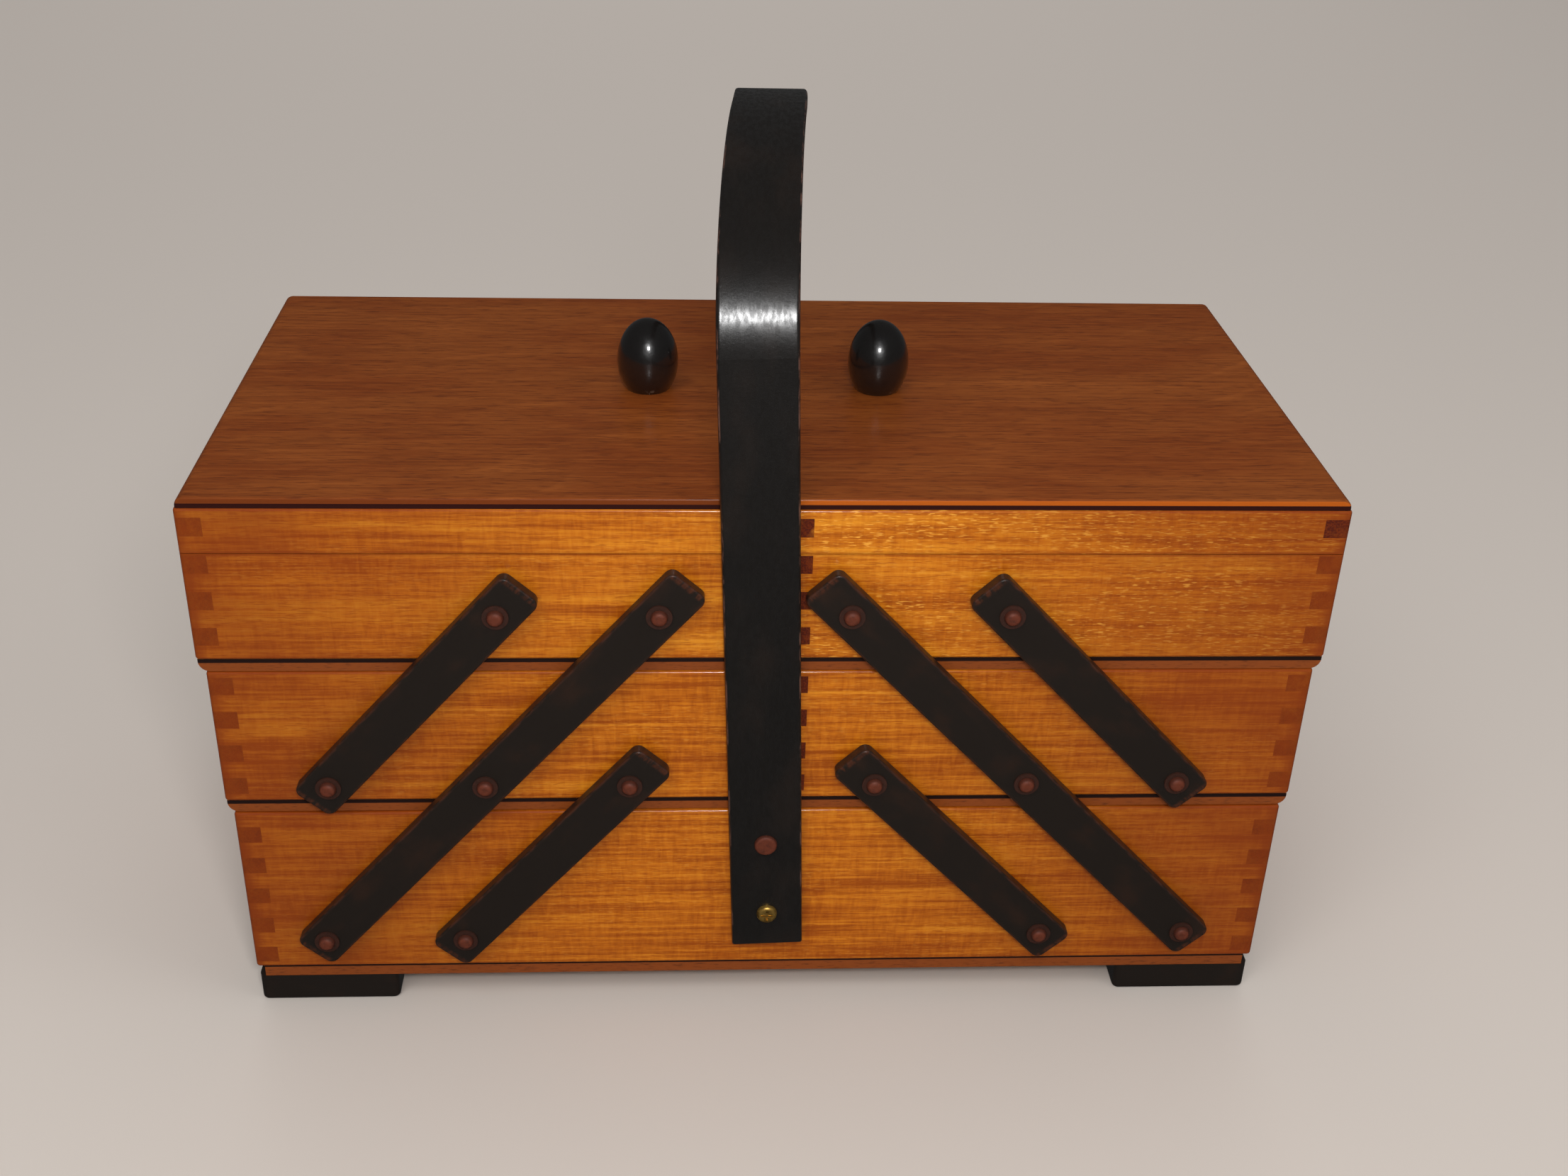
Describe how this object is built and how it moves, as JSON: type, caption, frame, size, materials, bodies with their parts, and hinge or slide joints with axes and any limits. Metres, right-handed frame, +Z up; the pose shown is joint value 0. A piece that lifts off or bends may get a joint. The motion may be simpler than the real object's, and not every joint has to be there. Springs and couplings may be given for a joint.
{
  "type": "cantilever sewing box",
  "caption": "Wooden cantilever sewing box with tiered trays that swing outward on linked arms, hinged lids with knobs and a tall bentwood carrying handle",
  "frame": {"origin": "on the surface that the feet stand on, at the middle of the overall box", "axes": "X runs along the box from the left trays to the right ones, Y from the front to the back across the handle, Z up"},
  "size_m": [0.409, 0.2136, 0.3269],
  "materials": {
    "beech": "honey-orange beech under gloss lacquer",
    "lid_beech": "reddish-brown stained veneer, satin lacquer",
    "plywood": "thin plywood with stained edges",
    "black_wood": "black-stained beech, satin to gloss, worn brown at the edges",
    "copper": "dull coppered rivets and washers",
    "brass": "brass hinges and screws"
  },
  "bodies": {
    "base": {"base_front": "beech", "base_back": "beech", "base_left_end": "beech", "base_right_end": "beech", "base_floor": "plywood", "feet": "black_wood", "base_arm_rivets": "copper", "handle_strap": "black_wood", "handle_rivets": "copper", "handle_screws": "brass"},
    "left_long_arms": {"left_back_long_arm": "black_wood", "left_front_long_arm": "black_wood"},
    "left_lower_arms": {"left_back_lower_arm": "black_wood", "left_front_lower_arm": "black_wood"},
    "left_upper_arms": {"left_back_upper_arm": "black_wood", "left_front_upper_arm": "black_wood"},
    "left_middle_tray": {"left_middle_front": "beech", "left_middle_back": "beech", "left_middle_outer_end": "beech", "left_middle_inner_end": "beech", "left_middle_floor": "plywood", "left_middle_arm_rivets": "copper"},
    "left_upper_tray": {"left_upper_front": "beech", "left_upper_back": "beech", "left_upper_outer_end": "beech", "left_upper_inner_end": "beech", "left_upper_floor": "plywood", "left_upper_arm_rivets": "copper", "left_hinge_tray_leaves": "brass", "left_hinge_pins": "brass"},
    "left_lid": {"left_lid_side_rails": "lid_beech", "left_lid_end_rails": "lid_beech", "left_lid_panel": "lid_beech", "left_lid_knob": "black_wood", "left_hinge_lid_leaves": "brass"},
    "right_long_arms": {"right_back_long_arm": "black_wood", "right_front_long_arm": "black_wood"},
    "right_lower_arms": {"right_back_lower_arm": "black_wood", "right_front_lower_arm": "black_wood"},
    "right_upper_arms": {"right_back_upper_arm": "black_wood", "right_front_upper_arm": "black_wood"},
    "right_middle_tray": {"right_middle_front": "beech", "right_middle_back": "beech", "right_middle_outer_end": "beech", "right_middle_inner_end": "beech", "right_middle_floor": "plywood", "right_middle_arm_rivets": "copper"},
    "right_upper_tray": {"right_upper_front": "beech", "right_upper_back": "beech", "right_upper_outer_end": "beech", "right_upper_inner_end": "beech", "right_upper_floor": "plywood", "right_upper_arm_rivets": "copper", "right_hinge_tray_leaves": "brass", "right_hinge_pins": "brass"},
    "right_lid": {"right_lid_side_rails": "lid_beech", "right_lid_end_rails": "lid_beech", "right_lid_panel": "lid_beech", "right_lid_knob": "black_wood", "right_hinge_lid_leaves": "brass"}
  },
  "joints": [
    {"name": "left_open", "type": "hinge", "parent": "base", "child": "left_long_arms", "pos_m": [-0.1651, 0, 0.0342], "axis": [0, -1, 0], "range_deg": [0, 83.1]},
    {"name": "left_lower_link", "type": "hinge", "parent": "base", "child": "left_lower_arms", "pos_m": [-0.1131, 0, 0.0342], "axis": [0, -1, 0], "range_deg": [0, 84]},
    {"name": "left_middle_tray_level", "type": "hinge", "parent": "left_long_arms", "child": "left_middle_tray", "pos_m": [-0.10195, 0, 0.1051], "axis": [0, -1, 0], "range_deg": [-84, 0]},
    {"name": "left_upper_link", "type": "hinge", "parent": "left_middle_tray", "child": "left_upper_arms", "pos_m": [-0.15795, 0, 0.1051], "axis": [0, -1, 0], "range_deg": [0, 84]},
    {"name": "left_upper_tray_level", "type": "hinge", "parent": "left_long_arms", "child": "left_upper_tray", "pos_m": [-0.03881, 0, 0.176], "axis": [0, -1, 0], "range_deg": [-84, 0]},
    {"name": "left_lid_hinge", "type": "hinge", "parent": "left_upper_tray", "child": "left_lid", "pos_m": [-0.2023, 0, 0.19715], "axis": [0, -1, 0], "range_deg": [0, 180]},
    {"name": "right_open", "type": "hinge", "parent": "base", "child": "right_long_arms", "pos_m": [0.1627, 0, 0.0342], "axis": [0, 1, 0], "range_deg": [0, 86.9]},
    {"name": "right_lower_link", "type": "hinge", "parent": "base", "child": "right_lower_arms", "pos_m": [0.1067, 0, 0.0342], "axis": [0, 1, 0], "range_deg": [0, 87]},
    {"name": "right_middle_tray_level", "type": "hinge", "parent": "right_long_arms", "child": "right_middle_tray", "pos_m": [0.09527, 0, 0.1051], "axis": [0, 1, 0], "range_deg": [-87, 0]},
    {"name": "right_upper_link", "type": "hinge", "parent": "right_middle_tray", "child": "right_upper_arms", "pos_m": [0.15127, 0, 0.1051], "axis": [0, 1, 0], "range_deg": [0, 87]},
    {"name": "right_upper_tray_level", "type": "hinge", "parent": "right_long_arms", "child": "right_upper_tray", "pos_m": [0.02784, 0, 0.176], "axis": [0, 1, 0], "range_deg": [-87, 0]},
    {"name": "right_lid_hinge", "type": "hinge", "parent": "right_upper_tray", "child": "right_lid", "pos_m": [0.2023, 0, 0.19715], "axis": [0, 1, 0], "range_deg": [0, 180]}
  ],
  "couplings": [
    {"joint": "left_lower_link", "follows": "left_open", "ratio": 1},
    {"joint": "left_middle_tray_level", "follows": "left_open", "ratio": -1},
    {"joint": "left_upper_link", "follows": "left_open", "ratio": 1},
    {"joint": "left_upper_tray_level", "follows": "left_open", "ratio": -1},
    {"joint": "right_lower_link", "follows": "right_open", "ratio": 1},
    {"joint": "right_middle_tray_level", "follows": "right_open", "ratio": -1},
    {"joint": "right_upper_link", "follows": "right_open", "ratio": 1},
    {"joint": "right_upper_tray_level", "follows": "right_open", "ratio": -1}
  ]
}
